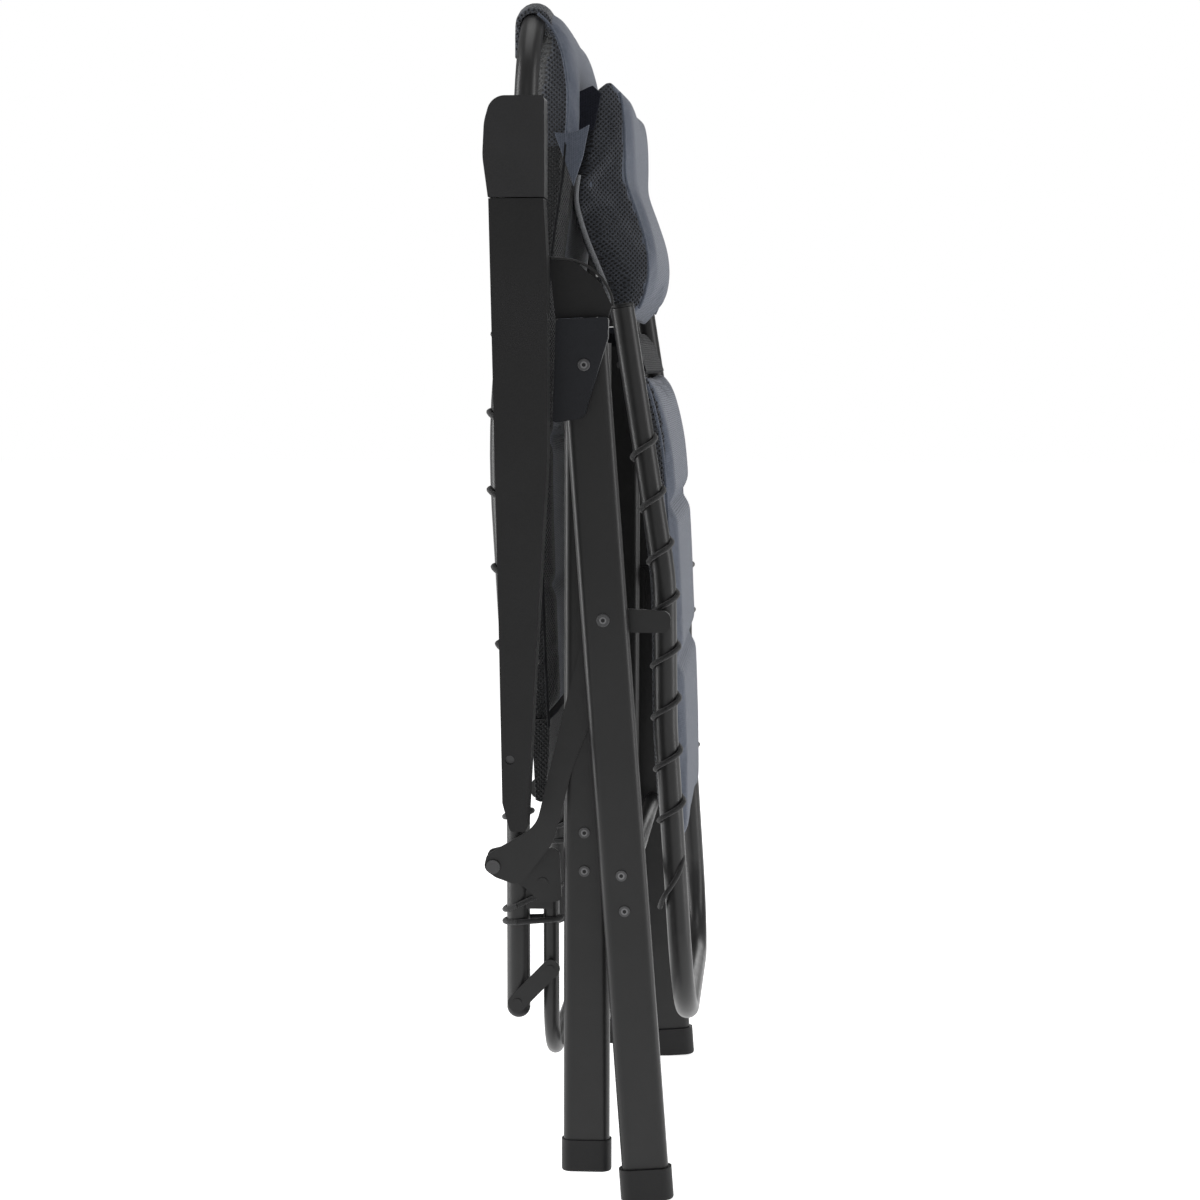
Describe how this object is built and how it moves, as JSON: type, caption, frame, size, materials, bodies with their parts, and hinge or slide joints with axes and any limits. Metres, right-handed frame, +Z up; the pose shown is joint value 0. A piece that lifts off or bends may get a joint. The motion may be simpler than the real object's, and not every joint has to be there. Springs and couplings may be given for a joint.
{
  "type": "folding camp chair",
  "caption": "Folding camp chair, folded flat: leg pairs, seat and back tube frames laced to padded panels, bent links, sliding armrests and a headrest pillow.",
  "frame": {"origin": "on the floor, under the middle of the folded chair's bounding box", "axes": "+X is the front of the chair, +Y its left side, +Z up as the folded chair stands on its front feet"},
  "size_m": [0.1976, 0.692, 1.106],
  "materials": {
    "frame_paint": "satin powder coat",
    "armrest_plastic": "fine grained",
    "black_plastic": "moulded",
    "bracket_plastic": "moulded",
    "dark_steel": "blackened",
    "cord": "braided elastic",
    "pad_fabric": "spacer mesh and woven face",
    "strap_webbing": "woven"
  },
  "bodies": {
    "front_legs": {"front_leg_left": "frame_paint", "front_leg_right": "frame_paint", "front_foot_left": "black_plastic", "front_foot_right": "black_plastic", "front_stretcher": "frame_paint", "apex_screws": "dark_steel", "seat_pivot_screws": "dark_steel", "apex_spacers": "dark_steel", "front_leg_rivets": "dark_steel"},
    "rear_legs": {"rear_leg_left": "frame_paint", "rear_leg_right": "frame_paint", "rear_foot_left": "black_plastic", "rear_foot_right": "black_plastic", "rear_stretcher": "frame_paint", "rear_leg_rivets": "dark_steel"},
    "seat": {"seat_frame": "frame_paint", "seat_crossbar": "frame_paint", "seat_pad": "pad_fabric", "seat_rail_sleeve_left": "black_plastic", "seat_rail_sleeve_right": "black_plastic", "seat_pivot_bracket_left": "frame_paint", "seat_pivot_bracket_right": "frame_paint", "seat_lacing_left": "cord", "seat_lacing_right": "cord"},
    "back_links": {"back_link_left": "frame_paint", "back_link_right": "frame_paint", "hinge_pin_left": "dark_steel", "hinge_pin_right": "dark_steel"},
    "hinge_plates": {"hinge_plate_left": "frame_paint", "hinge_plate_right": "frame_paint"},
    "back": {"back_frame": "frame_paint", "lower_back_tube": "frame_paint", "back_pad": "pad_fabric", "back_tube_plug_left": "black_plastic", "back_tube_plug_right": "black_plastic", "back_pivot_lug_left": "frame_paint", "back_pivot_lug_right": "frame_paint", "lower_link_left": "frame_paint", "lower_link_right": "frame_paint", "tube_clamp_left": "frame_paint", "tube_clamp_right": "frame_paint", "back_lacing_left": "cord", "back_lacing_right": "cord"},
    "armrest_pivots": {"armrest_pivot_left": "dark_steel", "armrest_pivot_right": "dark_steel"},
    "armrests": {"armrest_left": "armrest_plastic", "armrest_right": "armrest_plastic", "armrest_cap_left": "armrest_plastic", "armrest_cap_right": "armrest_plastic", "armrest_rack_left": "black_plastic", "armrest_rack_right": "black_plastic"},
    "apex_brackets": {"apex_bracket_left": "bracket_plastic", "apex_bracket_right": "bracket_plastic", "lock_cover_left": "bracket_plastic", "lock_cover_right": "bracket_plastic"},
    "headrest": {"headrest_pillow": "pad_fabric", "headrest_strap_left": "strap_webbing", "headrest_strap_right": "strap_webbing"}
  },
  "joints": [
    {"name": "fold", "type": "hinge", "parent": "front_legs", "child": "rear_legs", "pos_m": [-0.00095, 0, 0.771], "axis": [0, 1, 0], "range_deg": [0, 51.2]},
    {"name": "seat_fold", "type": "hinge", "parent": "front_legs", "child": "seat", "pos_m": [0.01525, 0, 0.539], "axis": [0, 1, 0], "range_deg": [-65.05, 0]},
    {"name": "link_fold", "type": "hinge", "parent": "front_legs", "child": "back_links", "pos_m": [0.01525, 0, 0.539], "axis": [0, 1, 0], "range_deg": [0, 114.55]},
    {"name": "hinge_fold", "type": "hinge", "parent": "back_links", "child": "hinge_plates", "pos_m": [-0.08835, 0, 0.307], "axis": [0, 1, 0], "range_deg": [-103.55, 0]},
    {"name": "recline", "type": "hinge", "parent": "hinge_plates", "child": "back", "pos_m": [-0.08835, 0, 0.307], "axis": [0, 1, 0], "range_deg": [-30, 0]},
    {"name": "armrest_fold", "type": "hinge", "parent": "back", "child": "armrest_pivots", "pos_m": [-0.06535, 0, 0.417], "axis": [0, 1, 0], "range_deg": [0, 92.05]},
    {"name": "armrest_level", "type": "hinge", "parent": "armrest_pivots", "child": "armrests", "pos_m": [-0.06535, 0, 0.417], "axis": [0, 1, 0], "range_deg": [0, 30.05]},
    {"name": "bracket_turn", "type": "hinge", "parent": "front_legs", "child": "apex_brackets", "pos_m": [-0.00095, 0, 0.771], "axis": [0, 1, 0], "range_deg": [0, 103.05]},
    {"name": "headrest_slide", "type": "slide", "parent": "back", "child": "headrest", "axis": [0.28, 0, 0.96], "range_m": [0, 0.04]}
  ],
  "couplings": [
    {"joint": "seat_fold", "follows": "fold", "ratio": -1.2695},
    {"joint": "link_fold", "follows": "fold", "ratio": 2.2363},
    {"joint": "hinge_fold", "follows": "fold", "ratio": -2.0215},
    {"joint": "armrest_fold", "follows": "fold", "ratio": 1.7969},
    {"joint": "bracket_turn", "follows": "fold", "ratio": 2.0117},
    {"joint": "armrest_level", "follows": "recline", "ratio": -1}
  ]
}
